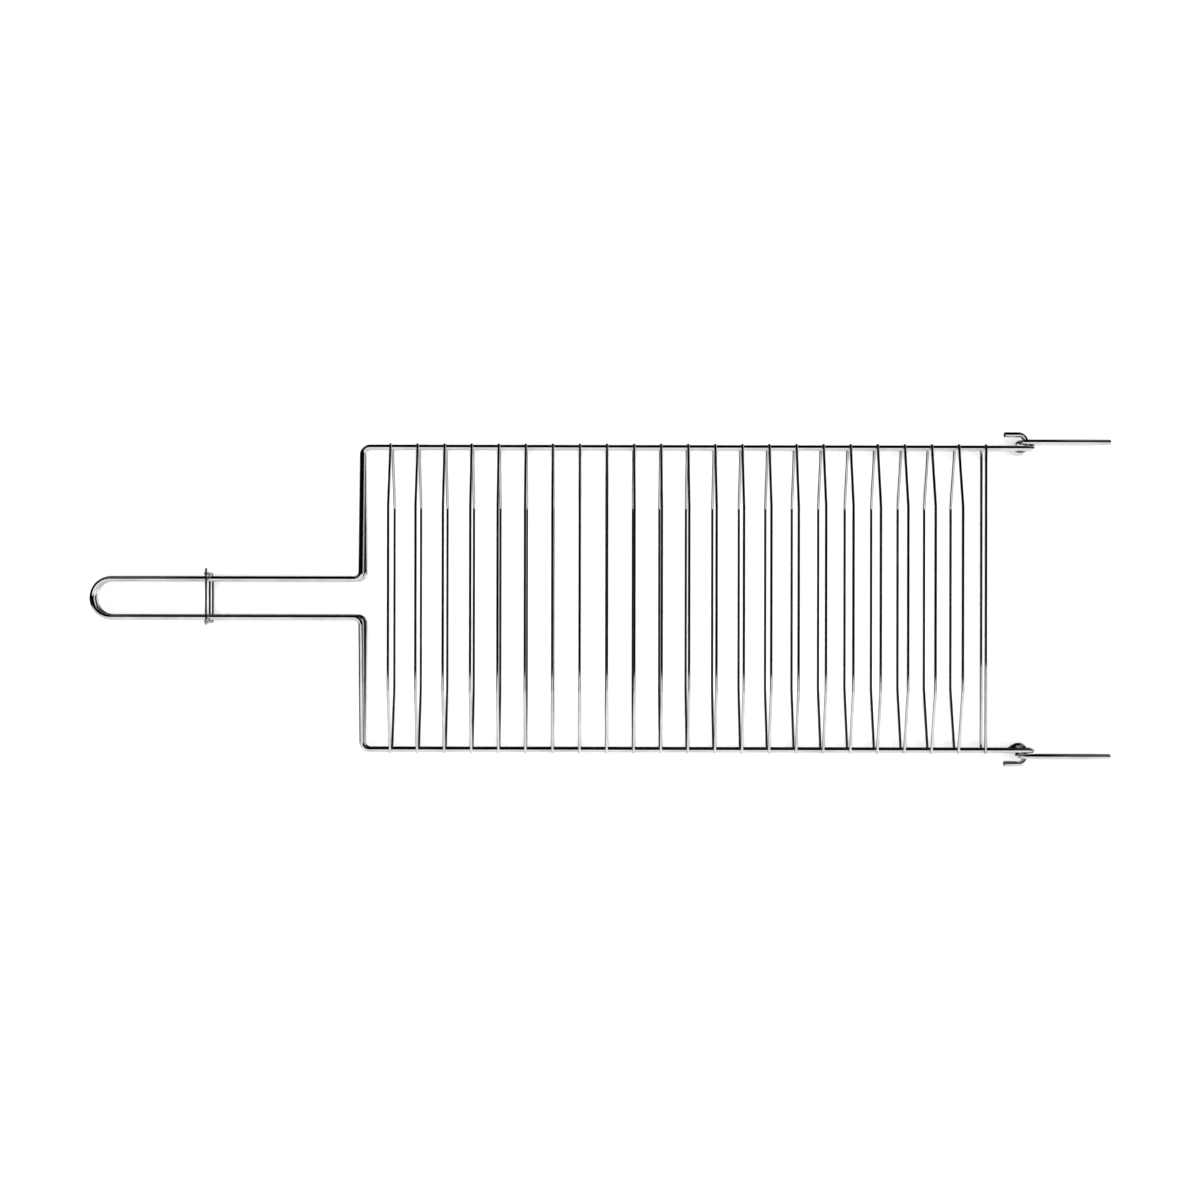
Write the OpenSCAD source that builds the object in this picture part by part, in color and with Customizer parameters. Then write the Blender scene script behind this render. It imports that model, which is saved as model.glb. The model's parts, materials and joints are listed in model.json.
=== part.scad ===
// Double grill grate: two dished wire grids hinged together, with long handles and a sliding catch.
// Each half's frame is one bent wire. The upper wire coils once into an eye and runs on as a leg.
// The lower wire turns outward through that eye as the hinge pin and ends in a hook.
// +X runs from the handle to the hinge. The origin is on the ground under the middle of the grate.

/* [Wire] */
// Diameter of the wire that each half's frame, handle and leg are bent from
frame_wire_d = 4; // [3.5:0.1:4.2]
// Diameter of the grid's rods
rod_wire_d = 2; // [1.5:0.1:3]
// Diameter of the catch's wire
catch_wire_d = 1.6; // [1.2:0.1:2]

/* [Grid] */
// Number of dished rods in each grid
rod_count = 22; // [4:1:22]
// Distance between neighbouring rods
rod_pitch = 21.5; // [15:0.5:30]
// Distance from the side wire to the first rod
first_rod_gap = 22.7; // [16:0.1:40]
// Distance from the end bar to the hinge axis
end_bar_gap = 34.6; // [30:0.1:60]
// Distance between the side rails, centre to centre
grid_width = 240.5; // [200:0.5:300]
// Width of the dished rods' flat middle
flat_width = 145.4; // [100:0.1:160]
// Height that a rod climbs from its rail to its flat
dish_depth = 8.8; // [4:0.1:20]
// Length of rod that stands past the outer face of its rail
rod_overhang = 0.5; // [0:0.1:2]
// Radius of the frame's corners, at the wire's centre
corner_r = 6; // [4:0.5:20]
// Radius of the bends in the rods, at the wire's centre
rod_bend_r = 8; // [4:0.5:20]

/* [Handle] */
// Length of the handle from the side wire to its round end
handle_len = 215.2; // [150:0.1:300]
// Distance between the handle's two wires, centre to centre
handle_width = 30.4; // [24:0.1:50]
// Radius of the bends where the handle leaves the side wire
root_bend_r = 5.4; // [4:0.1:8]
// Height of the side wire's middle above the rail, so that the two handles spring apart
root_rise = 5.2; // [1:0.1:8]

/* [Hinge] */
// Diameter of the coiled eye, at the wire's centre
eye_d = 10.8; // [10.6:0.1:12]
// Distance that the leg lies outside its rail
leg_step = 4.9; // [4.6:0.1:7]
// Distance that the eye's lowest point lies outside the rail
eye_step = 4.5; // [4.5:0.1:6]
// Length of a leg, from the hinge axis to its cut end
leg_reach = 65.2; // [30:0.1:120]
// Distance that the lower rail lies outside the upper one
lower_rail_outset = 0.5; // [0:0.1:1]
// Distance that the lower rail steps in beside the eye, so that the eye passes it when it turns
pin_step = 3.8; // [3.8:0.1:5]
// Length over which the lower rail steps in
pin_step_len = 6; // [6:0.5:20]
// Radius of the bend from the lower rail into the pin
pin_bend_r = 5.4; // [5.2:0.1:7]
// Distance of the hook's run outside the upper rail
hook_step = 11.4; // [11:0.1:16]
// Radius of the bend from the pin into the hook
hook_bend_r = 6; // [5:0.1:8]
// Length of the hook, from the hinge axis to its cut end
hook_len = 17.2; // [12:0.1:30]

/* [Catch] */
// Distance of the catch from the handle's round end, where the spreading handles hold it
catch_place = 92.7; // [40:0.1:150]
// Length of the straight bar across the top of the handle
catch_bar_len = 44.8; // [40:0.1:60]
// Distance that the bar stands further out on one side than on the other, halved
catch_bar_shift = 1.1; // [0:0.1:3]
// Distance between the two stirrups under the handle
stirrup_spread = 2.6; // [2:0.1:10]
// Clear width between the stirrups' arms
stirrup_width = 36.8; // [36:0.1:44]

/* [Hidden] */
$fn = 48;
wire_r = frame_wire_d / 2;
rod_r = rod_wire_d / 2;
catch_r = catch_wire_d / 2;
// Clearance between the two halves, and between the handle and the catch
running_gap = 0.3;
// Depth that a welded wire sinks into the one it crosses
weld_sink = 0.3;
// Straight length of the lower rail just before the pin's bend
pin_lead = 2;
// Distance between the stirrup's arms where they meet the bar
stirrup_top_gap = 2.2;
// Radius of the stirrup's lower corners, and of the two that close its top on one side
stirrup_bend_r = 2;
stirrup_top_r = 0.9;
// Radius of the bends where the lower rail steps in
step_bend_r = 5.4;
// Length of straight wire that reaches into a bend, and how far inside the bend its own wire starts
bend_lap = 0.1;
bend_inset = 0.04;
// Bending draws the wire this much thinner
bend_thinning = 0.1;

// Heights, from the plane in which the two halves meet
rail_z = wire_r + running_gap / 2;
rod_slope = atan(dish_depth / (grid_width / 2 - flat_width / 2));
rod_rail_z = rail_z + (wire_r + rod_r - weld_sink) / cos(rod_slope);
flat_z = rod_rail_z + dish_depth;
end_bar_z = rail_z + wire_r + rod_r - weld_sink;
root_z = rail_z + root_rise;
meeting_z = flat_z + rod_r;

// Places along the grate, from the handle's round end to the legs' cut ends
grid_len = first_rod_gap + rod_count * rod_pitch + end_bar_gap;
total_len = wire_r + handle_len + grid_len + leg_reach;
apex_x = wire_r - total_len / 2;
side_x = apex_x + handle_len;
hinge_x = side_x + grid_len;
first_rod_x = side_x + first_rod_gap;
end_bar_x = hinge_x - end_bar_gap;
catch_x = apex_x + catch_place;

// Places across the grate
rail_y = grid_width / 2;
lower_rail_y = rail_y + lower_rail_outset;
pin_start_y = lower_rail_y - pin_step;
hook_y = rail_y + hook_step;
leg_y = rail_y + leg_step;
handle_y = handle_width / 2;
flat_y = flat_width / 2;
rod_end_y = rail_y + wire_r + rod_overhang;
rod_end_z = rod_rail_z - (rod_end_y - rail_y) * tan(rod_slope);
arm_y = stirrup_width / 2 + catch_r;
eye_r = eye_d / 2;

// The bar rests on the handle, and the stirrups pass just as far under it
catch_z = rail_z + root_rise * catch_place / handle_len + wire_r + running_gap + catch_r;

// The eye's wire passes itself side by side and never touches
eye_gap = leg_step - frame_wire_d;
assert(eye_gap > 0.4, "the leg is too close to its rail");

function rod_node(half, i) = str(half, "_rod_", i < 10 ? "0" : "", i);
function rod_x(i) = first_rod_x + (i - 1) * rod_pitch;

function unit(v) = v / norm(v);
function bend_angle(a, b, c) = acos(unit(b - a) * unit(c - b));

// Length that a bend of radius r takes from the straight runs on each side of corner b
function bend_trim(a, b, c, r) = r * tan(bend_angle(a, b, c) / 2);

// Straight piece of wire from a to b
module wire_run(a, b, d) {
    v = b - a;
    translate(a)
        rotate([0, acos(v.z / norm(v)), atan2(v.y, v.x)])
            cylinder(h = norm(v), d = d);
}

// Bend of radius r that rounds corner b between the runs a to b and b to c
module wire_bend(a, b, c, r, d) {
    x = unit(b - a);
    next = unit(c - b);
    y = unit(next - (next * x) * x);
    z = cross(x, y);
    centre = b - bend_trim(a, b, c, r) * x + r * y;
    angle = bend_angle(a, b, c);
    inset = bend_inset / r * 180 / PI;
    multmatrix([
        [x.x, y.x, z.x, centre.x],
        [x.y, y.y, z.y, centre.y],
        [x.z, y.z, z.z, centre.z],
        [0, 0, 0, 1]
    ])
        rotate([0, 0, inset - 90])
            rotate_extrude(angle = angle - 2 * inset)
                translate([r, 0])
                    circle(d = d - bend_thinning);
}

// Wire through a list of corners, where radii gives each corner's bend and is 0 at the two ends
module bent_wire(points, radii, d) {
    last = len(points) - 1;
    // A run reaches a little way into the bend at its end, but stops dead at the wire's cut end
    reach = [
        for (i = [0 : last])
            i == 0 || i == last
                ? 0
                : bend_trim(points[i - 1], points[i], points[i + 1], radii[i]) - bend_lap
    ];
    for (i = [0 : last - 1]) {
        heading = unit(points[i + 1] - points[i]);
        wire_run(points[i] + reach[i] * heading, points[i + 1] - reach[i + 1] * heading, d);
    }
    for (i = [1 : last - 1])
        wire_bend(points[i - 1], points[i], points[i + 1], radii[i], d);
}

function mirrored_y(p) = [p.x, -p.y, p.z];
function reversed(list) = [for (i = [len(list) - 1 : -1 : 0]) list[i]];

// Corners of a wire that is the same on both sides of the grate, given those of its +Y side
function both_sides(points) = concat(points, [for (p = reversed(points)) mirrored_y(p)]);

// Dished rod that lies on the rails by its sloping ends
module rod(i) {
    side = [[rod_x(i), rod_end_y, rod_end_z], [rod_x(i), flat_y, flat_z]];
    bent_wire(both_sides(side), [0, rod_bend_r, rod_bend_r, 0], rod_wire_d);
}

// Straight bar that closes the grid at its hinge end
module end_bar() {
    wire_run([end_bar_x, -rod_end_y, end_bar_z], [end_bar_x, rod_end_y, end_bar_z], rod_wire_d);
}

module lift() {
    translate([0, 0, meeting_z])
        children();
}

module lower_half() {
    lift()
        mirror([0, 0, 1])
            children();
}

// The upper wire runs from one leg through its eye, round the grid and the handle, to the other leg
module upper_frame() {
    side = [
        [hinge_x + leg_reach, leg_y, rail_z],
        [hinge_x - eye_r, leg_y, rail_z],
        [hinge_x - eye_r, rail_y + eye_step, rail_z - eye_d],
        [hinge_x + eye_r, rail_y + eye_step, rail_z - eye_d],
        [hinge_x + eye_r, rail_y, rail_z],
        [side_x, rail_y, rail_z],
        [side_x, handle_y, root_z],
        [apex_x, handle_y, rail_z]
    ];
    side_bends = [0, eye_r, eye_r, eye_r, eye_r, corner_r, root_bend_r, handle_y];
    color("silver")
        lift()
            bent_wire(both_sides(side), concat(side_bends, reversed(side_bends)), frame_wire_d);
}

// The lower wire runs from one hook through the pin, round the grid and the handle, to the other
module lower_frame() {
    side = [
        [hinge_x - hook_len, hook_y, rail_z],
        [hinge_x, hook_y, rail_z],
        [hinge_x, pin_start_y, rail_z],
        [hinge_x - pin_bend_r - pin_lead, pin_start_y, rail_z],
        [hinge_x - pin_bend_r - pin_lead - pin_step_len, lower_rail_y, rail_z],
        [side_x, lower_rail_y, rail_z],
        [side_x, handle_y, root_z],
        [apex_x, handle_y, rail_z]
    ];
    side_bends = [0, hook_bend_r, pin_bend_r, step_bend_r, step_bend_r, corner_r, root_bend_r, handle_y];
    color("silver")
        lower_half()
            bent_wire(both_sides(side), concat(side_bends, reversed(side_bends)), frame_wire_d);
}

module upper_rod(i) {
    color("gainsboro")
        lift()
            rod(i);
}

module lower_rod(i) {
    color("gainsboro")
        lower_half()
            rod(i);
}

module upper_end_bar() {
    color("gainsboro")
        lift()
            end_bar();
}

module lower_end_bar() {
    color("gainsboro")
        lower_half()
            end_bar();
}

// Bar across the top of the handle, whose ends stand out for the fingers
module catch_bar() {
    middle = [catch_x, catch_bar_shift, catch_z];
    half = [0, catch_bar_len / 2, 0];
    color("lightgray")
        lift()
            wire_run(middle - half, middle + half, catch_wire_d);
}

// One wire bent into two stirrups, which hang from the bar and pass under both handles
module catch_stirrup() {
    top_x = stirrup_top_gap / 2;
    top_z = catch_z - catch_r / 2;
    corners = [
        [top_x, arm_y, top_z],
        [0, arm_y, -catch_z],
        [0, -arm_y, -catch_z],
        [top_x, -arm_y, top_z],
        [-top_x, -arm_y, top_z],
        [-stirrup_spread, -arm_y, -catch_z],
        [-stirrup_spread, arm_y, -catch_z],
        [-top_x, arm_y, top_z]
    ];
    half_bends = [0, stirrup_bend_r, stirrup_bend_r, stirrup_top_r];
    color("lightgray")
        lift()
            translate([catch_x, 0, 0])
                bent_wire(corners, concat(half_bends, reversed(half_bends)), catch_wire_d);
}

lower_frame();
upper_frame();
for (i = [1 : rod_count])
    lower_rod(i);
lower_end_bar();
for (i = [1 : rod_count])
    upper_rod(i);
upper_end_bar();
catch_bar();
catch_stirrup();
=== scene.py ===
"""Double grill grate: bright plated wire, its welds and the studio round it.

Each wire of the CAD model is swept again along its own bends as one smooth tube with sheared ends,
so that it has no steps at its bends, and each crossing gets the metal that its weld squeezed out.
Everything is in metres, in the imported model's frame.
"""

import json
import math

import bmesh
import bpy
from mathutils import Matrix, Vector, noise


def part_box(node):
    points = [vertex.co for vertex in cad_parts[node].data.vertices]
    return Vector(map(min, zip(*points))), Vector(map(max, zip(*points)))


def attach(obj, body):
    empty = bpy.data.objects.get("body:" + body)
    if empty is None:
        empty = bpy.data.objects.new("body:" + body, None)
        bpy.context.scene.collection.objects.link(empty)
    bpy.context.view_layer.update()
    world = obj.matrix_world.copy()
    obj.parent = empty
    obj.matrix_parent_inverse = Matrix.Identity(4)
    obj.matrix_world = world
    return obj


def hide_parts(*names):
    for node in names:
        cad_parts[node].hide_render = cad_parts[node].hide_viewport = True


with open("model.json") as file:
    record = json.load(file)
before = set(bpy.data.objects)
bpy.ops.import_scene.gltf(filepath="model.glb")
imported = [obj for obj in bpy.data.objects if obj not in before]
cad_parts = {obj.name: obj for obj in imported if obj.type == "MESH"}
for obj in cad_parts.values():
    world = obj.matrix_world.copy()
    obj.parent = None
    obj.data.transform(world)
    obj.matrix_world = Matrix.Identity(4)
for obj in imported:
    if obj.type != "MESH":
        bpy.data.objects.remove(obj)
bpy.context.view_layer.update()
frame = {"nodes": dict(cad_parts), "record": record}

bl_info = {
    "name": "Double Grill Grate",
    "version": (1, 0, 0),
    "blender": (4, 5, 0),
    "location": "3D Viewport > Sidebar > Grate",
    "description": "Builds the plated wires, welds and studio of a hinged double grill grate",
    "category": "Object",
}

MM = 0.001
JOINTS = {joint["name"]: joint for joint in frame["record"]["behaviour"]["joints"]}
RODS = sorted(name for name in frame["nodes"] if "_rod_" in name)
HALVES = {"lower": -1, "upper": 1}

# The lower rails lie on the hinge's own height, so the plane where the halves meet is just above it
HINGE = Vector(JOINTS["lid_hinge"]["pos_m"])
MEETING_HEIGHT = HINGE.z + 2.15 * MM


class GrateSizes(bpy.types.PropertyGroup):
    """Sizes of the wires and of the bends that they are swept along."""

    frame_wire: bpy.props.FloatProperty(
        name="Frame Wire",
        description="Diameter of the wire that each half's frame, handle and leg are bent from",
        default=4 * MM,
        unit="LENGTH",
    )
    rod_wire: bpy.props.FloatProperty(
        name="Rod Wire",
        description="Diameter of the grids' rods and end bars",
        default=2 * MM,
        unit="LENGTH",
    )
    catch_wire: bpy.props.FloatProperty(
        name="Catch Wire",
        description="Diameter of the wire that the catch is made of",
        default=1.6 * MM,
        unit="LENGTH",
    )
    rail_width: bpy.props.FloatProperty(
        name="Rail Width",
        description="Distance between the upper half's two side rails, centre to centre",
        default=240.5 * MM,
        unit="LENGTH",
    )
    rail_height: bpy.props.FloatProperty(
        name="Rail Height",
        description="Height of a rail's centre above the plane where the two halves meet",
        default=2.15 * MM,
        unit="LENGTH",
    )
    handle_width: bpy.props.FloatProperty(
        name="Handle Width",
        description="Distance between a handle's two wires, centre to centre",
        default=30.4 * MM,
        unit="LENGTH",
    )
    handle_rise: bpy.props.FloatProperty(
        name="Handle Rise",
        description="Height of a handle's root above its rails, which springs the handles apart",
        default=5.2 * MM,
        unit="LENGTH",
    )
    flat_width: bpy.props.FloatProperty(
        name="Flat Width",
        description="Width of the level middle of a dished rod",
        default=145.4 * MM,
        unit="LENGTH",
    )
    dish_depth: bpy.props.FloatProperty(
        name="Dish Depth",
        description="Height that a rod climbs from its rail to its level middle",
        default=8.8 * MM,
        unit="LENGTH",
    )
    weld_sink: bpy.props.FloatProperty(
        name="Weld Sink",
        description="Depth that a welded wire sinks into the wire it crosses",
        default=0.3 * MM,
        unit="LENGTH",
    )
    wire_sides: bpy.props.IntProperty(
        name="Wire Sides",
        description="Number of faces round a wire",
        default=28,
        min=8,
    )


class GrateFinishes(bpy.types.PropertyGroup):
    """Colours of the plated steel, as sRGB hex values."""

    chrome_light: bpy.props.StringProperty(
        name="Bright Chrome",
        description="Colour of the plating where it is thick and bright",
        default="#DADBDC",
    )
    chrome_dark: bpy.props.StringProperty(
        name="Thin Chrome",
        description="Colour of the plating where it is thin or smoked",
        default="#C6C8CA",
    )
    weld_light: bpy.props.StringProperty(
        name="Weld Crest",
        description="Colour of the plating on the crest of a weld's flash",
        default="#C4C3C1",
    )
    weld_dark: bpy.props.StringProperty(
        name="Weld Root",
        description="Colour of the plating in the root of a weld, which the bath reaches least",
        default="#8F8B86",
    )
    cut_light: bpy.props.StringProperty(
        name="Cut End",
        description="Colour of a sheared wire end",
        default="#A9AAAB",
    )
    cut_dark: bpy.props.StringProperty(
        name="Shear Marks",
        description="Colour of the marks that the shear left on a wire end",
        default="#77777A",
    )


class GrateStudio(bpy.types.PropertyGroup):
    """Where the camera stands and how bright the studio is."""

    camera_height: bpy.props.FloatProperty(
        name="Camera Height",
        description="Height of the camera above the plane where the two halves meet",
        default=0.8147,
        unit="LENGTH",
    )
    camera_along: bpy.props.FloatProperty(
        name="Camera Along",
        description="Place of the camera along the grate, from its middle",
        default=-11.66 * MM,
        unit="LENGTH",
    )
    camera_roll: bpy.props.FloatProperty(
        name="Camera Roll",
        description="Small turn of the camera about its line of sight",
        default=math.radians(0.1),
        unit="ROTATION",
    )
    lens: bpy.props.FloatProperty(
        name="Lens",
        description="Focal length in millimetres on a 36 mm sensor",
        default=30.6,
    )
    floor_light: bpy.props.FloatProperty(
        name="Floor Light",
        description="Strength of the soft lamp over the camera, whose shadows the wires hide",
        default=0.72,
    )
    panel_light: bpy.props.FloatProperty(
        name="Panel Light",
        description="Brightness of the white panel that the wires mirror on one side",
        default=1.12,
    )
    ground_light: bpy.props.FloatProperty(
        name="Ground Light",
        description="Brightness of the ground that the wires mirror on the panel's side",
        default=0.95,
    )
    ground_dim: bpy.props.FloatProperty(
        name="Dim Ground",
        description="Brightness of the ground that the wires mirror to the left and right",
        default=0.08,
    )
    print_gamma: bpy.props.FloatProperty(
        name="Print Gamma",
        description="Gamma of the picture; below 1 it has the contrast of a printed catalogue",
        default=0.87,
    )
    wall_light: bpy.props.FloatProperty(
        name="Wall Light",
        description="Brightness of the foot of the wall that the wires mirror towards the hinge",
        default=1.0,
    )
    corner_light: bpy.props.FloatProperty(
        name="Corner Light",
        description="Brightness of the two boards in the studio's corners opposite the panel",
        default=0.3,
    )
    ceiling_light: bpy.props.FloatProperty(
        name="Ceiling Light",
        description="Strength of the soft even light that falls on the whole floor",
        default=2.35,
    )


def linear(hex_colour):
    """Linear RGBA of an sRGB hex colour."""
    channels = [int(hex_colour[i : i + 2], 16) / 255 for i in (1, 3, 5)]
    return [
        c / 12.92 if c <= 0.04045 else ((c + 0.055) / 1.055) ** 2.4 for c in channels
    ] + [1.0]


def add_node(tree, kind, place=(0, 0), links=(), **settings):
    """One shader node with its settings and links. A setting is an input's name or an attribute.

    links holds (this node's input, other node, other node's output).
    """
    node = tree.nodes.new(kind)
    node.location = place
    for key, value in settings.items():
        if hasattr(node, key):
            setattr(node, key, value)
        else:
            node.inputs[key.replace("_", " ")].default_value = value
    for socket, other, output in links:
        tree.links.new(other.outputs[output], node.inputs[socket])
    return node


def new_material(name):
    """Empty node material with its output node, as (material, tree, output)."""
    material = bpy.data.materials.get(name)
    if material:
        return material, None, None
    material = bpy.data.materials.new(name)
    material.use_nodes = True
    tree = material.node_tree
    tree.nodes.clear()
    return material, tree, add_node(tree, "ShaderNodeOutputMaterial", (900, 0))


def set_stops(node, *stops):
    """Puts (position, colour or grey) stops into a colour ramp."""
    ramp = node.color_ramp
    while len(ramp.elements) < len(stops):
        ramp.elements.new(0.5)
    for element, (position, colour) in zip(ramp.elements, stops, strict=True):
        element.position = position
        grey = isinstance(colour, (int, float))
        element.color = [colour, colour, colour, 1.0] if grey else colour


def bright_chrome_wire():
    """Bright chrome plate on drawn steel wire.

    Plate over drawn wire gives the eye a hard, near-black and white mirror of the studio. The faint
    die lines along the wire and the plate's slow ripple break each reflection's edge a little, and
    the plate is a shade darker where the bath left it thin.
    """
    material, tree, output = new_material("bright_chrome_on_drawn_wire")
    if not tree:
        return material
    finish = bpy.context.scene.grate_finishes
    place = add_node(tree, "ShaderNodeTexCoord", (-1300, 0))
    # The plate's thickness drifts over about 25 mm of wire
    drift = add_node(
        tree,
        "ShaderNodeTexNoise",
        (-1000, 300),
        [("Vector", place, "Object")],
        Scale=40.0,
        Detail=3.0,
        Roughness=0.55,
    )
    tone = add_node(tree, "ShaderNodeValToRGB", (-300, 300), [("Fac", drift, "Fac")])
    set_stops(
        tone, (0.34, linear(finish.chrome_dark)), (0.62, linear(finish.chrome_light))
    )
    # Fine haze in the plate, in specks of about 1.2 mm
    haze = add_node(
        tree,
        "ShaderNodeTexNoise",
        (-1000, 0),
        [("Vector", place, "Object")],
        Scale=800.0,
        Detail=2.0,
    )
    gloss = add_node(
        tree,
        "ShaderNodeMapRange",
        (-300, 0),
        [("Value", haze, "Fac")],
    )
    gloss.inputs["To Min"].default_value = 0.02
    gloss.inputs["To Max"].default_value = 0.06
    # Die lines run the wire's whole length. Real ones are some 0.02 mm apart, and these are drawn
    # 0.3 mm apart so that they show at all. The UV map is in metres, along the wire and round it.
    along = add_node(tree, "ShaderNodeUVMap", (-1300, -350), uv_map="wire")
    stretched = add_node(
        tree,
        "ShaderNodeMapping",
        (-1150, -350),
        [("Vector", along, "UV")],
        Scale=(25.0, 3300.0, 1.0),
    )
    die_lines = add_node(
        tree,
        "ShaderNodeTexNoise",
        (-1000, -350),
        [("Vector", stretched, "Vector")],
        Scale=1.0,
        Detail=1.0,
    )
    # Slow ripple of about 12 mm, left by straightening the wire off its coil
    ripple = add_node(
        tree,
        "ShaderNodeTexNoise",
        (-1000, -650),
        [("Vector", place, "Object")],
        Scale=85.0,
        Detail=1.0,
    )
    lines_bump = add_node(
        tree,
        "ShaderNodeBump",
        (-600, -350),
        [("Height", die_lines, "Fac")],
        Strength=0.5,
        Distance=0.000002,
    )
    ripple_bump = add_node(
        tree,
        "ShaderNodeBump",
        (-300, -450),
        [("Height", ripple, "Fac"), ("Normal", lines_bump, "Normal")],
        Strength=0.5,
        Distance=0.000012,
    )
    shader = add_node(
        tree,
        "ShaderNodeBsdfPrincipled",
        (200, 0),
        [
            ("Base Color", tone, "Color"),
            ("Roughness", gloss, "Result"),
            ("Normal", ripple_bump, "Normal"),
        ],
        Metallic=1.0,
    )
    tree.links.new(shader.outputs["BSDF"], output.inputs["Surface"])
    return material


def plated_weld_flash():
    """Chrome plate over the flash of a resistance weld.

    The squeezed metal is pitted and lumpy, so the same plate looks duller and greyer on it and has
    small broken highlights.
    """
    material, tree, output = new_material("chrome_over_weld_flash")
    if not tree:
        return material
    finish = bpy.context.scene.grate_finishes
    place = add_node(tree, "ShaderNodeTexCoord", (-1100, 0))
    # Lumps of about 0.6 mm
    lumps = add_node(
        tree,
        "ShaderNodeTexNoise",
        (-850, 150),
        [("Vector", place, "Object")],
        Scale=1600.0,
        Detail=4.0,
    )
    # Pits of about 0.3 mm, left by spatter
    pits = add_node(
        tree,
        "ShaderNodeTexVoronoi",
        (-850, -250),
        [("Vector", place, "Object")],
        Scale=3000.0,
    )
    tone = add_node(tree, "ShaderNodeValToRGB", (-400, 200), [("Fac", lumps, "Fac")])
    set_stops(
        tone, (0.35, linear(finish.weld_dark)), (0.65, linear(finish.weld_light))
    )
    gloss = add_node(tree, "ShaderNodeMapRange", (-400, -50), [("Value", lumps, "Fac")])
    gloss.inputs["To Min"].default_value = 0.42
    gloss.inputs["To Max"].default_value = 0.22
    lump_bump = add_node(
        tree,
        "ShaderNodeBump",
        (-500, -300),
        [("Height", lumps, "Fac")],
        Strength=0.8,
        Distance=0.0002,
    )
    pit_bump = add_node(
        tree,
        "ShaderNodeBump",
        (-250, -350),
        [("Height", pits, "Distance"), ("Normal", lump_bump, "Normal")],
        Strength=0.5,
        Distance=0.0001,
    )
    shader = add_node(
        tree,
        "ShaderNodeBsdfPrincipled",
        (200, 0),
        [
            ("Base Color", tone, "Color"),
            ("Roughness", gloss, "Result"),
            ("Normal", pit_bump, "Normal"),
        ],
        Metallic=1.0,
    )
    tree.links.new(shader.outputs["BSDF"], output.inputs["Surface"])
    return material


def sheared_wire_end():
    """Sheared steel wire end under plate.

    The shear smears the metal across the end in fine parallel scores, so the end is a dull grey
    disc against the bright wire.
    """
    material, tree, output = new_material("sheared_steel_end")
    if not tree:
        return material
    finish = bpy.context.scene.grate_finishes
    place = add_node(tree, "ShaderNodeTexCoord", (-1100, 0))
    # Scores about 0.25 mm apart
    scores = add_node(
        tree,
        "ShaderNodeTexWave",
        (-850, 100),
        [("Vector", place, "Object")],
        bands_direction="Z",
        Scale=1200.0,
        Distortion=3.0,
        Detail=2.0,
    )
    tone = add_node(tree, "ShaderNodeValToRGB", (-400, 200), [("Fac", scores, "Fac")])
    set_stops(tone, (0.25, linear(finish.cut_dark)), (0.75, linear(finish.cut_light)))
    gloss = add_node(tree, "ShaderNodeMapRange", (-400, -50), [("Value", scores, "Fac")])
    gloss.inputs["To Min"].default_value = 0.5
    gloss.inputs["To Max"].default_value = 0.32
    bump = add_node(
        tree,
        "ShaderNodeBump",
        (-400, -300),
        [("Height", scores, "Fac")],
        Strength=0.6,
        Distance=0.00005,
    )
    shader = add_node(
        tree,
        "ShaderNodeBsdfPrincipled",
        (200, 0),
        [
            ("Base Color", tone, "Color"),
            ("Roughness", gloss, "Result"),
            ("Normal", bump, "Normal"),
        ],
        Metallic=1.0,
    )
    tree.links.new(shader.outputs["BSDF"], output.inputs["Surface"])
    return material


def white_studio_board():
    """Matt white board, painted with a roller.

    The floor under the grate. It gives an even white with only the faintest cloudiness.
    """
    material, tree, output = new_material("matt_white_board")
    if not tree:
        return material
    place = add_node(tree, "ShaderNodeTexCoord", (-900, 0))
    clouds = add_node(
        tree,
        "ShaderNodeTexNoise",
        (-650, 0),
        [("Vector", place, "Object")],
        Scale=6.0,
        Detail=3.0,
    )
    tone = add_node(tree, "ShaderNodeValToRGB", (-350, 0), [("Fac", clouds, "Fac")])
    set_stops(tone, (0.3, linear("#F1F1F0")), (0.7, linear("#F5F5F4")))
    shader = add_node(
        tree,
        "ShaderNodeBsdfPrincipled",
        (100, 0),
        [("Base Color", tone, "Color")],
        Roughness=0.95,
    )
    tree.links.new(shader.outputs["BSDF"], output.inputs["Surface"])
    return material


def bend_angle(before, corner, after):
    """Angle that a wire turns through at a corner."""
    return (corner - before).angle(after - corner)


def centre_line(corners, radii):
    """Places and directions along a wire that rounds each corner with a bend of the given radius."""
    last = len(corners) - 1
    trims = [0.0] * (last + 1)
    for i in range(1, last):
        turn = bend_angle(corners[i - 1], corners[i], corners[i + 1])
        trims[i] = radii[i] * math.tan(turn / 2)
    line = [(corners[0], (corners[1] - corners[0]).normalized())]
    for i in range(1, last):
        heading = (corners[i] - corners[i - 1]).normalized()
        after = (corners[i + 1] - corners[i]).normalized()
        inward = (after - after.dot(heading) * heading).normalized()
        centre = corners[i] - trims[i] * heading + radii[i] * inward
        turn = heading.angle(after)
        steps = max(3, math.ceil(math.degrees(turn) / 6))
        for k in range(steps + 1):
            a = turn * k / steps
            place = centre + radii[i] * (math.sin(a) * heading - math.cos(a) * inward)
            direction = math.cos(a) * heading + math.sin(a) * inward
            if (place - line[-1][0]).length > 0.01 * MM:
                line.append((place, direction))
    line.append((corners[last], (corners[last] - corners[last - 1]).normalized()))
    return line


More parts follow.
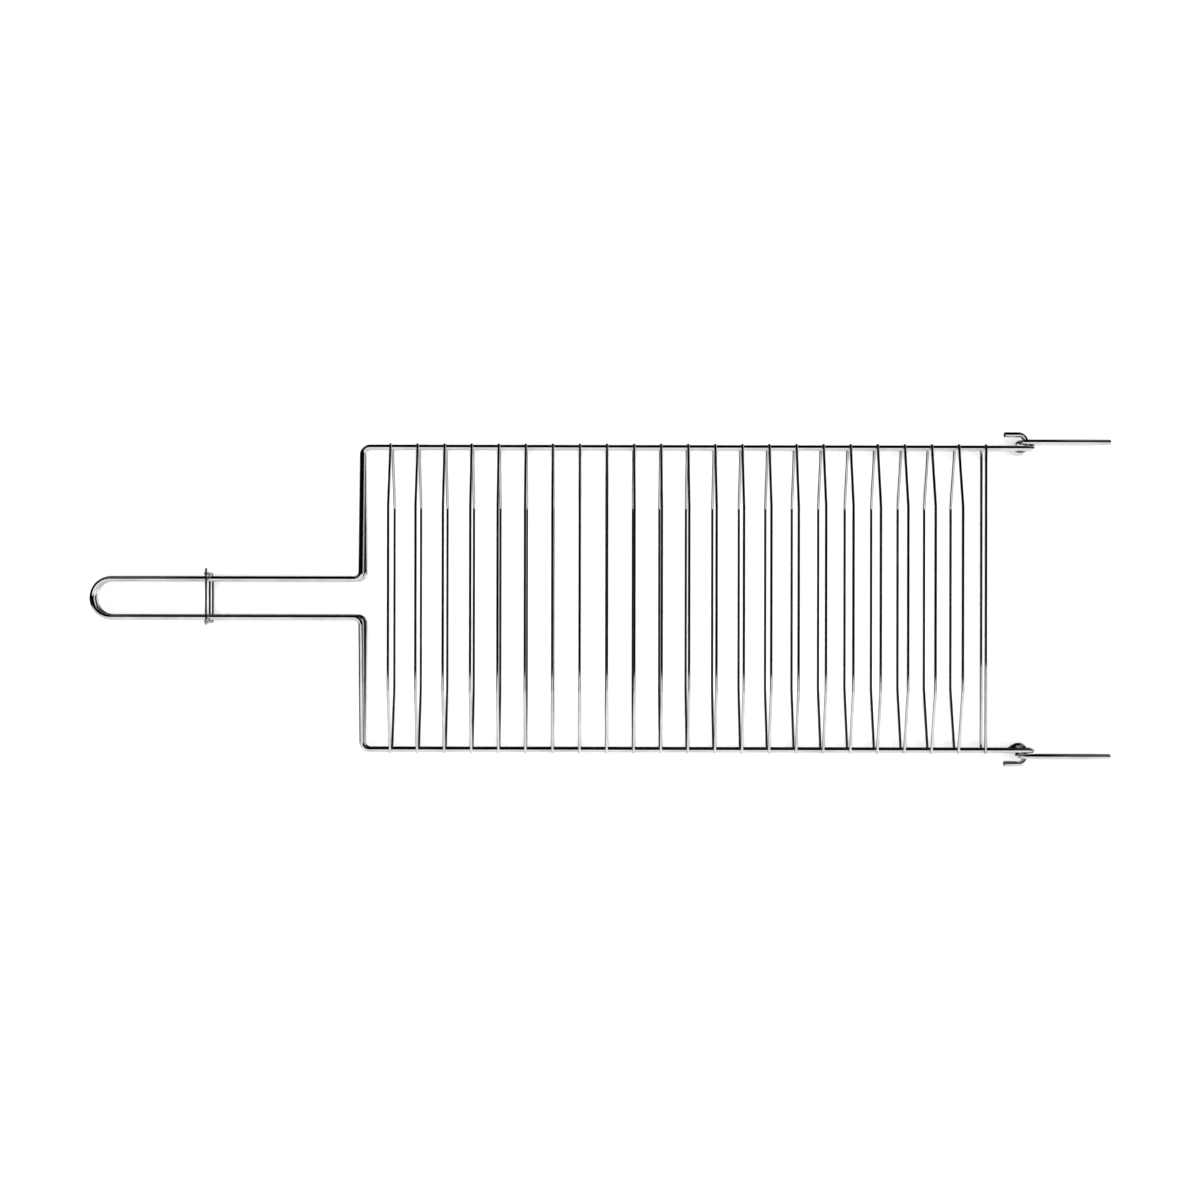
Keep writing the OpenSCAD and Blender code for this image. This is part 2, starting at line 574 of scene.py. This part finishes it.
def end_rings(line, radius):
    """Rings of a wire as (place, direction, radius), with its sheared rims rounded a little."""
    (first, start), (last, end) = line[0], line[-1]
    rim = [(0.0, 0.86), (0.05, 0.94), (0.14, 0.985), (0.3, 1.0)]
    rings = [(first + depth * radius * start, start, radius * size) for depth, size in rim]
    rings += [(place, direction, radius) for place, direction in line[1:-1]]
    rings += [
        (last - depth * radius * end, end, radius * size) for depth, size in reversed(rim)
    ]
    return rings


def sweep_wire(name, line, diameter):
    """New object: one smooth wire swept along a centre line, with flat sheared ends."""
    sides = bpy.context.scene.grate_sizes.wire_sides
    rings = end_rings(line, diameter / 2)
    mesh = bpy.data.meshes.new(name)
    bm = bmesh.new()
    uv = bm.loops.layers.uv.new("wire")
    across = rings[0][1].orthogonal().normalized()
    loops = []
    lengths = [0.0]
    for i, (place, direction, radius) in enumerate(rings):
        across = (across - across.dot(direction) * direction).normalized()
        up = direction.cross(across)
        if i:
            lengths.append(lengths[-1] + (place - rings[i - 1][0]).length)
        loops.append(
            [
                bm.verts.new(
                    place
                    + radius
                    * (
                        math.cos(math.tau * k / sides) * across
                        + math.sin(math.tau * k / sides) * up
                    )
                )
                for k in range(sides)
            ]
        )
    round_step = math.pi * diameter / sides
    for i in range(len(loops) - 1):
        for k in range(sides):
            n = (k + 1) % sides
            face = bm.faces.new((loops[i][k], loops[i][n], loops[i + 1][n], loops[i + 1][k]))
            face.smooth = True
            spots = ((i, k), (i, k + 1), (i + 1, k + 1), (i + 1, k))
            for loop, (ring, step) in zip(face.loops, spots, strict=True):
                loop[uv].uv = (lengths[ring], step * round_step)
    for loop in (reversed(loops[0]), loops[-1]):
        bm.faces.new(list(loop)).material_index = 1
    bmesh.ops.recalc_face_normals(bm, faces=bm.faces)
    bm.to_mesh(mesh)
    bm.free()
    mesh.materials.append(bright_chrome_wire())
    mesh.materials.append(sheared_wire_end())
    wire = bpy.data.objects.new(name, mesh)
    bpy.context.scene.collection.objects.link(wire)
    return wire


def stand_for(wire, node, body):
    """The wire takes its CAD node's place, after a test that it lies where the node does."""
    bpy.context.view_layer.update()
    corners = [wire.matrix_world @ vertex.co for vertex in wire.data.vertices]
    low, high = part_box(node)
    for axis in range(3):
        reach = [corner[axis] for corner in corners]
        off = max(abs(min(reach) - low[axis]), abs(max(reach) - high[axis]))
        if off > 0.15 * MM:
            raise RuntimeError(f"{wire.name} is {off / MM:.2f} mm off {node}")
    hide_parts(node)
    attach(wire, body)
    return wire


def at(x, y, height, half="upper"):
    """A place from its height over the meeting plane, turned over for the lower half."""
    return Vector((x, y, MEETING_HEIGHT + HALVES[half] * height))


def both_sides(side):
    """Corners of a wire that is the same on both sides of the grate."""
    return side + [Vector((p.x, -p.y, p.z)) for p in reversed(side)]


def there_and_back(radii):
    return radii + radii[::-1]


def frame_places():
    """Places along the grate that both frames share, taken from the CAD model."""
    low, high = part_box("upper_frame")
    round_end = low.x + bpy.context.scene.grate_sizes.frame_wire / 2
    return {
        "leg_end": high.x,
        "hinge": HINGE.x,
        "side": round_end + 215.2 * MM,
        "round_end": round_end,
    }


class GRATE_OT_frames(bpy.types.Operator):
    """Sweep the two frame wires, with their handles, eyes, pins, hooks and legs"""

    bl_idname = "grate.frames"
    bl_label = "Bend the Frames"

    def execute(self, context):
        sizes = context.scene.grate_sizes
        x = frame_places()
        rail, handle = sizes.rail_width / 2, sizes.handle_width / 2
        height, root = sizes.rail_height, sizes.rail_height + sizes.handle_rise
        eye, eye_low = 5.4 * MM, height - 10.8 * MM
        leg, eye_out = rail + 4.9 * MM, rail + 4.5 * MM
        upper = [
            at(x["leg_end"], leg, height),
            at(x["hinge"] - eye, leg, height),
            at(x["hinge"] - eye, eye_out, eye_low),
            at(x["hinge"] + eye, eye_out, eye_low),
            at(x["hinge"] + eye, rail, height),
            at(x["side"], rail, height),
            at(x["side"], handle, root),
            at(x["round_end"], handle, height),
        ]
        upper_bends = [0, eye, eye, eye, eye, 6 * MM, eye, handle]
        line = centre_line(both_sides(upper), there_and_back(upper_bends))
        wire = sweep_wire("upper_frame_wire", line, sizes.frame_wire)
        stand_for(wire, "upper_frame", "upper_half")

        outer, pin = rail + 0.5 * MM, rail - 3.3 * MM
        lower = [
            at(x["hinge"] - 17.2 * MM, rail + 11.4 * MM, height, "lower"),
            at(x["hinge"], rail + 11.4 * MM, height, "lower"),
            at(x["hinge"], pin, height, "lower"),
            at(x["hinge"] - 7.4 * MM, pin, height, "lower"),
            at(x["hinge"] - 13.4 * MM, outer, height, "lower"),
            at(x["side"], outer, height, "lower"),
            at(x["side"], handle, root, "lower"),
            at(x["round_end"], handle, height, "lower"),
        ]
        lower_bends = [0, 6 * MM, eye, eye, eye, 6 * MM, eye, handle]
        line = centre_line(both_sides(lower), there_and_back(lower_bends))
        wire = sweep_wire("lower_frame_wire", line, sizes.frame_wire)
        stand_for(wire, "lower_frame", "lower_half")
        return {"FINISHED"}


def rod_heights():
    """Heights of a rod's flat middle and of its axis over the rail, and the slope between them."""
    sizes = bpy.context.scene.grate_sizes
    rail, flat = sizes.rail_width / 2, sizes.flat_width / 2
    slope = math.atan(sizes.dish_depth / (rail - flat))
    seat = (sizes.frame_wire + sizes.rod_wire) / 2 - sizes.weld_sink
    on_rail = sizes.rail_height + seat / math.cos(slope)
    return on_rail + sizes.dish_depth, on_rail, slope


class GRATE_OT_rods(bpy.types.Operator):
    """Sweep the dished rods and the straight end bars of both grids"""

    bl_idname = "grate.rods"
    bl_label = "Lay the Rods"

    def execute(self, context):
        sizes = context.scene.grate_sizes
        flat_height, on_rail, slope = rod_heights()
        rail, flat = sizes.rail_width / 2, sizes.flat_width / 2
        for node in RODS:
            half = node.split("_")[0]
            low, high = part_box(node)
            x, end = (low.x + high.x) / 2, high.y - sizes.rod_wire / 2 * math.sin(slope)
            side = [
                at(x, end, on_rail - (end - rail) * math.tan(slope), half),
                at(x, flat, flat_height, half),
            ]
            line = centre_line(both_sides(side), [0, 8 * MM, 8 * MM, 0])
            rod = sweep_wire(node.replace("_rod_", "_rod_wire_"), line, sizes.rod_wire)
            stand_for(rod, node, half + "_half")
        for half in HALVES:
            node = half + "_end_bar"
            low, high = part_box(node)
            x, height = (low.x + high.x) / 2, (low.z + high.z) / 2
            ends = [Vector((x, low.y, height)), Vector((x, high.y, height))]
            bar = sweep_wire(node + "_wire", centre_line(ends, [0, 0]), sizes.rod_wire)
            stand_for(bar, node, half + "_half")
        return {"FINISHED"}


class GRATE_OT_catch(bpy.types.Operator):
    """Sweep the catch's bar and the wire of its two stirrups"""

    bl_idname = "grate.catch"
    bl_label = "Bend the Catch"

    def execute(self, context):
        sizes = context.scene.grate_sizes
        low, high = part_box("catch_bar")
        x, height = (low.x + high.x) / 2, (low.z + high.z) / 2
        ends = [Vector((x, low.y, height)), Vector((x, high.y, height))]
        bar = sweep_wire("catch_bar_wire", centre_line(ends, [0, 0]), sizes.catch_wire)
        stand_for(bar, "catch_bar", "catch")

        low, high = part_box("catch_stirrup")
        arm = (high.y - low.y) / 2 - sizes.catch_wire / 2
        top = height - MEETING_HEIGHT - sizes.catch_wire / 4
        bottom = low.z + sizes.catch_wire / 2 - MEETING_HEIGHT
        lean, spread = 1.1 * MM, 2.6 * MM
        corners = [
            at(x + lean, arm, top),
            at(x, arm, bottom),
            at(x, -arm, bottom),
            at(x + lean, -arm, top),
            at(x - lean, -arm, top),
            at(x - spread, -arm, bottom),
            at(x - spread, arm, bottom),
            at(x - lean, arm, top),
        ]
        bends = there_and_back([0, 2 * MM, 2 * MM, 0.9 * MM])
        line = centre_line(corners, bends)
        stirrup = sweep_wire("catch_stirrup_wire", line, sizes.catch_wire)
        stand_for(stirrup, "catch_stirrup", "catch")
        return {"FINISHED"}


def weld_flash(bm, place, half_size, drop, seed):
    """Adds the lumpy metal squeezed out round one crossing, which sags over the wire beneath it.

    drop is -1 for a weld on top of its rail and 1 for one under it.
    """
    ball = bmesh.ops.create_icosphere(bm, subdivisions=3, radius=1.0)
    for vertex in ball["verts"]:
        way = vertex.co.normalized()
        lump = noise.fractal(way * 1.6 + Vector((seed * 3.7, 0, 0)), 1.0, 2.0, 3)
        co = way * (1 + 0.22 * lump)
        co = Vector((co.x * half_size.x, co.y * half_size.y, co.z * half_size.z))
        co.z += drop * co.y * co.y / (4 * MM)
        vertex.co = place + co


class GRATE_OT_welds(bpy.types.Operator):
    """Squeeze a little metal out of every crossing that is welded"""

    bl_idname = "grate.welds"
    bl_label = "Weld the Crossings"

    def execute(self, context):
        sizes = context.scene.grate_sizes
        for half, sign in HALVES.items():
            rail = sizes.rail_width / 2 + (0.5 * MM if half == "lower" else 0)
            seam = sizes.rail_height + sizes.frame_wire / 2 - 0.12 * MM
            bm = bmesh.new()
            crossings = [node for node in RODS if node.startswith(half)] + [half + "_end_bar"]
            for number, node in enumerate(crossings):
                low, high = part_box(node)
                for side in (-1, 1):
                    place = at((low.x + high.x) / 2, side * rail, seam, half)
                    size = Vector((1.34, 1.25, 0.5)) * MM
                    weld_flash(bm, place, size, -sign, number * 2 + side + 60 * sign)
            self.finish(bm, half + "_weld_flash", half + "_half", "grid_wire")
        bm = bmesh.new()
        low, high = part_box("catch_bar")
        x, height = (low.x + high.x) / 2, (low.z + high.z) / 2
        low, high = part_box("catch_stirrup")
        arm = high.y - sizes.catch_wire / 2
        for number, (dx, side) in enumerate(((-0.75, 1), (0.75, 1), (-0.75, -1), (0.75, -1))):
            place = Vector((x + dx * MM, side * arm, height - 0.3 * MM))
            weld_flash(bm, place, Vector((0.6, 0.95, 0.62)) * MM, 0, 200 + number)
        self.finish(bm, "catch_weld_flash", "catch", "catch_wire")
        return {"FINISHED"}

    def finish(self, bm, name, body, slot):
        for face in bm.faces:
            face.smooth = True
        mesh = bpy.data.meshes.new(name)
        bm.to_mesh(mesh)
        bm.free()
        mesh.materials.append(plated_weld_flash())
        flash = bpy.data.objects.new(name, mesh)
        bpy.context.scene.collection.objects.link(flash)
        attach(flash, body)


def studio_world(studio):
    """World that the wires mirror: a broad white panel along the -Y side, and dark elsewhere.

    The panel starts 5.7 degrees off the zenith and is wider the further it is from there. Below
    the horizon the wires mirror a ground that it lights on its own side only, and along +X a pale
    wall foot. The camera itself sees a pale room.
    """
    world = bpy.data.worlds.new("dark_studio_with_white_panel")
    world.use_nodes = True
    tree = world.node_tree
    tree.nodes.clear()
    output = add_node(tree, "ShaderNodeOutputWorld", (1500, 0))
    place = add_node(tree, "ShaderNodeTexCoord", (-1500, 0))
    way = add_node(tree, "ShaderNodeSeparateXYZ", (-1300, 0), [("Vector", place, "Generated")])
    sideways = add_node(tree, "ShaderNodeMath", (-1100, 0), [(0, way, "X")], operation="ABSOLUTE")
    across = add_node(tree, "ShaderNodeMath", (-1100, -900), [(0, way, "Y")], operation="ABSOLUTE")
    along = add_node(
        tree, "ShaderNodeMath", (-900, -900), [(0, way, "X"), (1, across, "Value")],
        operation="SUBTRACT",
    )
    spread = add_node(
        tree, "ShaderNodeMath", (-900, 0), [(0, sideways, "Value"), (1, across, "Value")],
        operation="SUBTRACT",
    )

    # What each light is made of: soft limits of the direction, and its brightness inside them
    lights = {
        "panel": (studio.panel_light, [
            (way, "Y", -0.095, -0.105),
            (spread, "Value", 0.68, 0.6),
            (way, "Z", -0.03, 0.0),
        ]),
        "ground_by_panel": (studio.ground_light, [(way, "Y", -0.1, -0.45), (way, "Z", 0.0, -0.05)]),
        "ground_beside": (studio.ground_dim, [(way, "Y", 0.6, 0.1), (way, "Z", 0.0, -0.05)]),
        "wall_foot": (studio.wall_light, [(along, "Value", -0.1, 0.2), (way, "Z", 0.1, 0.0)]),
        # Seen from straight above, no wire mirrors the boards in these corners
        "far_corners": (studio.corner_light, [
            (way, "Y", 0.5, 0.56),
            (sideways, "Value", 0.4, 0.46),
            (way, "Z", 0.62, 0.5),
            (way, "Z", -0.03, 0.0),
        ]),
    }
    glow, glow_output = add_node(tree, "ShaderNodeValue", (-500, 400)), "Value"
    glow.outputs["Value"].default_value = 0.004
    for row, (brightness, limits) in enumerate(lights.values()):
        light, light_output = None, "Result"
        for column, (source, name, start, full) in enumerate(limits):
            spot = (-700 + 200 * column, 200 - 350 * row)
            light_there = [("To Max", light, light_output)] if light else []
            step = add_node(
                tree, "ShaderNodeMapRange", spot, [("Value", source, name)] + light_there,
                interpolation_type="SMOOTHSTEP", From_Min=start, From_Max=full,
            )
            if not light:
                step.inputs["To Max"].default_value = brightness
            light = step
        glow = add_node(
            tree, "ShaderNodeMath", (100 + 200 * row, 200 - 350 * row),
            [(0, glow, glow_output), (1, light, light_output)], operation="ADD",
        )
    lit = add_node(tree, "ShaderNodeBackground", (1000, 100), [("Color", glow, "Value")])
    room = add_node(tree, "ShaderNodeBackground", (1000, -100), Color=linear("#F2F3F4"))
    rays = add_node(tree, "ShaderNodeLightPath", (1000, 400))
    mixed = add_node(
        tree, "ShaderNodeMixShader", (1250, 0),
        [("Fac", rays, "Is Camera Ray"), (1, lit, "Background"), (2, room, "Background")],
    )
    tree.links.new(mixed.outputs["Shader"], output.inputs["Surface"])
    # The floor has its own two lamps, so the panel's side throws no shadow on it
    world.cycles_visibility.diffuse = False
    bpy.context.scene.world = world


class GRATE_OT_stage(bpy.types.Operator):
    """Set up the white floor, the soft lights and the camera over the grate"""

    bl_idname = "grate.stage"
    bl_label = "Set the Stage"

    def execute(self, context):
        studio = context.scene.grate_studio
        mesh = bpy.data.meshes.new("studio_floor")
        bm = bmesh.new()
        bmesh.ops.create_grid(bm, x_segments=8, y_segments=8, size=6)
        bm.to_mesh(mesh)
        bm.free()
        mesh.materials.append(white_studio_board())
        floor = bpy.data.objects.new("studio_floor", mesh)
        floor.location.z = -0.05 * MM
        # The floor lies in the wires' mirror as the even ground of the studio's world
        floor.visible_glossy = False
        context.scene.collection.objects.link(floor)

        eye = Vector((studio.camera_along, 0, MEETING_HEIGHT + studio.camera_height))
        lamp = bpy.data.lights.new("soft_lamp", "AREA")
        lamp.shape = "DISK"
        lamp.size = 0.12
        lamp.use_nodes = True
        tree = lamp.node_tree
        tree.nodes.clear()
        falloff = add_node(
            tree, "ShaderNodeLightFalloff", (-300, 0), Strength=studio.floor_light
        )
        glow = add_node(
            tree, "ShaderNodeEmission", (0, 0), [("Strength", falloff, "Constant")]
        )
        add_node(
            tree, "ShaderNodeOutputLight", (300, 0), [("Surface", glow, "Emission")]
        )
        lamp_object = bpy.data.objects.new("soft_lamp", lamp)
        lamp_object.location = eye + Vector((0, 0, 0.01))
        # The wires mirror only the panel, as they do beside a lamp that is flagged off them
        lamp_object.visible_glossy = False
        context.scene.collection.objects.link(lamp_object)

        ceiling = bpy.data.lights.new("soft_ceiling", "SUN")
        ceiling.energy = studio.ceiling_light
        ceiling.angle = math.radians(60)
        ceiling_object = bpy.data.objects.new("soft_ceiling", ceiling)
        ceiling_object.location = eye + Vector((0, 0, 0.5))
        ceiling_object.visible_glossy = False
        context.scene.collection.objects.link(ceiling_object)

        studio_world(studio)
        context.scene.view_settings.view_transform = "Standard"
        context.scene.view_settings.gamma = studio.print_gamma

        lens = bpy.data.cameras.new("camera")
        lens.lens = studio.lens
        lens.sensor_width = 36
        lens.shift_x = 14.8 / 1200
        lens.shift_y = -1.5 / 1200
        camera = bpy.data.objects.new("camera", lens)
        camera.location = eye
        camera.rotation_euler = (0, 0, studio.camera_roll)
        context.scene.collection.objects.link(camera)
        context.scene.camera = camera
        return {"FINISHED"}


class GRATE_PT_panel(bpy.types.Panel):
    """Sizes, finishes and building steps of the grate"""

    bl_idname = "GRATE_PT_panel"
    bl_label = "Double Grill Grate"
    bl_space_type = "VIEW_3D"
    bl_region_type = "UI"
    bl_category = "Grate"

    def draw(self, context):
        for group in (
            context.scene.grate_sizes,
            context.scene.grate_finishes,
            context.scene.grate_studio,
        ):
            box = self.layout.box()
            for name in group.bl_rna.properties.keys():
                if name not in ("rna_type", "name"):
                    box.prop(group, name)
        for operator in OPERATORS:
            self.layout.operator(operator.bl_idname)


OPERATORS = (
    GRATE_OT_frames,
    GRATE_OT_rods,
    GRATE_OT_catch,
    GRATE_OT_welds,
    GRATE_OT_stage,
)
GROUPS = {
    "grate_sizes": GrateSizes,
    "grate_finishes": GrateFinishes,
    "grate_studio": GrateStudio,
}


def register():
    for cls in (*GROUPS.values(), *OPERATORS, GRATE_PT_panel):
        bpy.utils.register_class(cls)
    for name, group in GROUPS.items():
        setattr(bpy.types.Scene, name, bpy.props.PointerProperty(type=group))


def unregister():
    for name in GROUPS:
        delattr(bpy.types.Scene, name)
    for cls in (GRATE_PT_panel, *reversed(OPERATORS), *GROUPS.values()):
        bpy.utils.unregister_class(cls)


def main():
    register()
    bpy.ops.grate.frames()
    bpy.ops.grate.rods()
    bpy.ops.grate.catch()
    bpy.ops.grate.welds()
    bpy.ops.grate.stage()


if __name__ == "__main__":
    main()
